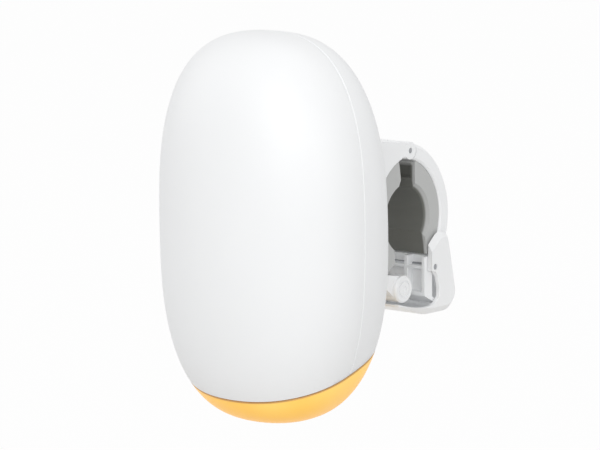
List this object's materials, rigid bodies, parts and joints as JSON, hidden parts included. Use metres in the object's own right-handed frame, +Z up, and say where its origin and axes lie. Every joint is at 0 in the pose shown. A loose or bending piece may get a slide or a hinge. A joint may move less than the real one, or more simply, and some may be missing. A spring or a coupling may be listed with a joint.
{
  "type": "nursery night light with bar clamp",
  "caption": "White pebble-shaped nursery night light and soother with a glowing amber base lens and a hinged bar clamp behind it.",
  "frame": {"origin": "middle of the clamped bar's axis, inside the clamp", "axes": "+X along the bar, to the right seen from the front; -Y towards the front of the body; +Z up"},
  "size_m": [0.0805, 0.1129, 0.13],
  "materials": {
    "white_shell": "satin moulded ABS",
    "amber_lens": "translucent diffusing polycarbonate",
    "white_inner": "matt reflector white",
    "circuit_board": "solder mask",
    "amber_led": "clear epoxy dome",
    "black_plastic": "matt moulded",
    "steel_screw": "zinc plated",
    "nickel_shell": "nickel plated",
    "cell_wrap": "shrink sleeve",
    "plated_magnet": "zinc plated",
    "paper_cone": "pressed paper",
    "black_foam": "closed-cell foam",
    "clamp_plastic": "semi-gloss moulded nylon",
    "grey_rubber": "matt soft rubber",
    "steel_pin": "ground steel",
    "button_plastic": "satin"
  },
  "bodies": {
    "unit": {"front_shell": "white_shell", "rear_shell": "white_shell", "light_lens": "amber_lens", "reflector": "white_inner", "led_board": "circuit_board", "leds": "amber_led", "main_board": "circuit_board", "board_chips": "black_plastic", "board_screws": "steel_screw", "usb_socket": "nickel_shell", "battery_cell": "cell_wrap", "battery_cradle": "black_plastic", "speaker_basket": "black_plastic", "speaker_magnet": "plated_magnet", "speaker_cone": "paper_cone", "speaker_gasket": "black_foam", "key_board": "circuit_board", "key_switches": "black_plastic", "case_screws": "steel_screw", "bracket_screws": "steel_screw", "fixed_jaw": "clamp_plastic", "fixed_liner": "grey_rubber", "catch_rod": "clamp_plastic", "catch_caps": "clamp_plastic", "hinge_pin": "steel_pin"},
    "jaw": {"swing_jaw": "clamp_plastic", "swing_liner": "grey_rubber", "lever_pin": "steel_pin"},
    "lever": {"latch_lever": "clamp_plastic"},
    "power_button_cap": {"power_button": "button_plastic"},
    "play_button_cap": {"play_button": "button_plastic"},
    "light_button_cap": {"light_button": "button_plastic"},
    "volume_up_button_cap": {"volume_up_button": "button_plastic"},
    "volume_down_button_cap": {"volume_down_button": "button_plastic"}
  },
  "joints": [
    {"name": "jaw_swing", "type": "hinge", "parent": "unit", "child": "jaw", "pos_m": [0, 0.00092, 0.02334], "axis": [1, 0, 0], "range_deg": [0, 60]},
    {"name": "lever_flip", "type": "hinge", "parent": "jaw", "child": "lever", "pos_m": [0, 0.0123, -0.018], "axis": [1, 0, 0], "range_deg": [0, 60]},
    {"name": "power_press", "type": "slide", "parent": "unit", "child": "power_button_cap", "axis": [1, 0, 0], "range_m": [0, 0.0008], "stiffness_N_per_m": 500},
    {"name": "play_press", "type": "slide", "parent": "unit", "child": "play_button_cap", "axis": [1, 0, 0], "range_m": [0, 0.0008], "stiffness_N_per_m": 500},
    {"name": "light_press", "type": "slide", "parent": "unit", "child": "light_button_cap", "axis": [1, 0, 0], "range_m": [0, 0.0008], "stiffness_N_per_m": 500},
    {"name": "volume_up_press", "type": "slide", "parent": "unit", "child": "volume_up_button_cap", "axis": [1, 0, 0], "range_m": [0, 0.0008], "stiffness_N_per_m": 500},
    {"name": "volume_down_press", "type": "slide", "parent": "unit", "child": "volume_down_button_cap", "axis": [1, 0, 0], "range_m": [0, 0.0008], "stiffness_N_per_m": 500}
  ]
}
